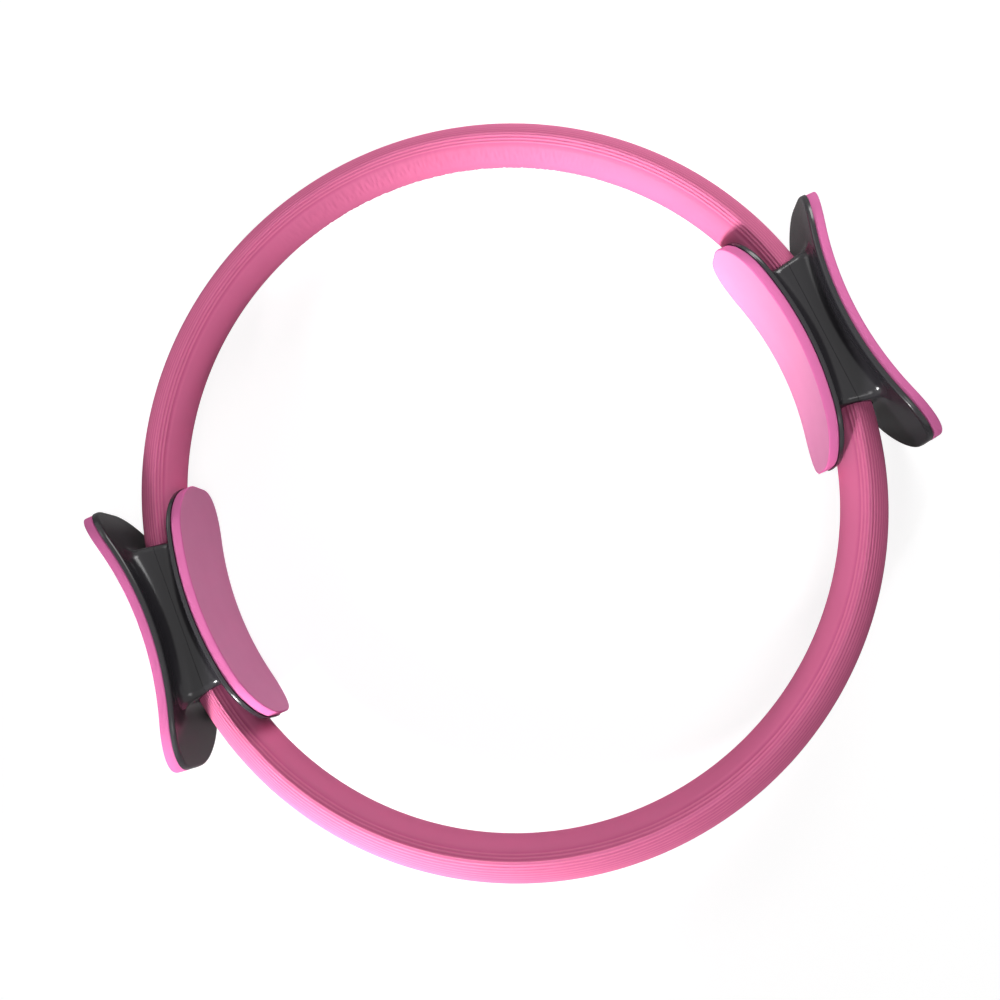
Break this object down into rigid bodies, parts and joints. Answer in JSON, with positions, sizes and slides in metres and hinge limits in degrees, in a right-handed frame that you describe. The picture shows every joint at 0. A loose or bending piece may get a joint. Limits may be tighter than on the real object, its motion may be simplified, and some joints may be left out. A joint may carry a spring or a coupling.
{
  "type": "pilates ring",
  "caption": "Round pilates ring: a foam-covered spring hoop joins padded spool-shaped handles that are squeezed together or pulled apart against its resistance.",
  "frame": {"origin": "centre of the ring, halfway between the two handles and halfway up the ring's height", "axes": "+X from the ring's centre to the right handle, +Y to the front half hoop, +Z along the ring's axis"},
  "size_m": [0.3794, 0.36, 0.056],
  "materials": {
    "hoop_foam": "soft closed-cell foam, matt, finely ribbed",
    "grip_pad": "die-cut EVA sheet, matt",
    "handle_plastic": "moulded ABS, glossy black",
    "glass_fibre": "pultruded glass fibre, satin",
    "plated_steel": "zinc-plated steel"
  },
  "bodies": {
    "left_handle": {"left_inner_shell": "handle_plastic", "left_outer_shell": "handle_plastic", "left_inner_pad": "grip_pad", "left_outer_pad": "grip_pad", "left_shell_screws": "plated_steel", "left_strip_bolts": "plated_steel", "front_foam_sleeve": "hoop_foam", "front_inner_strip": "glass_fibre", "front_middle_strip": "glass_fibre", "front_outer_strip": "glass_fibre", "rear_foam_sleeve": "hoop_foam", "rear_inner_strip": "glass_fibre", "rear_middle_strip": "glass_fibre", "rear_outer_strip": "glass_fibre"},
    "right_handle": {"right_inner_shell": "handle_plastic", "right_outer_shell": "handle_plastic", "right_inner_pad": "grip_pad", "right_outer_pad": "grip_pad", "right_shell_screws": "plated_steel", "right_strip_bolts": "plated_steel"}
  },
  "joints": [
    {"name": "squeeze", "type": "slide", "parent": "left_handle", "child": "right_handle", "axis": [-1, 0, 0], "range_m": [-0.02, 0.09], "stiffness_N_per_m": 900, "deforming": ["front_foam_sleeve", "front_inner_strip", "front_middle_strip", "front_outer_strip", "rear_foam_sleeve", "rear_inner_strip", "rear_middle_strip", "rear_outer_strip"]}
  ]
}
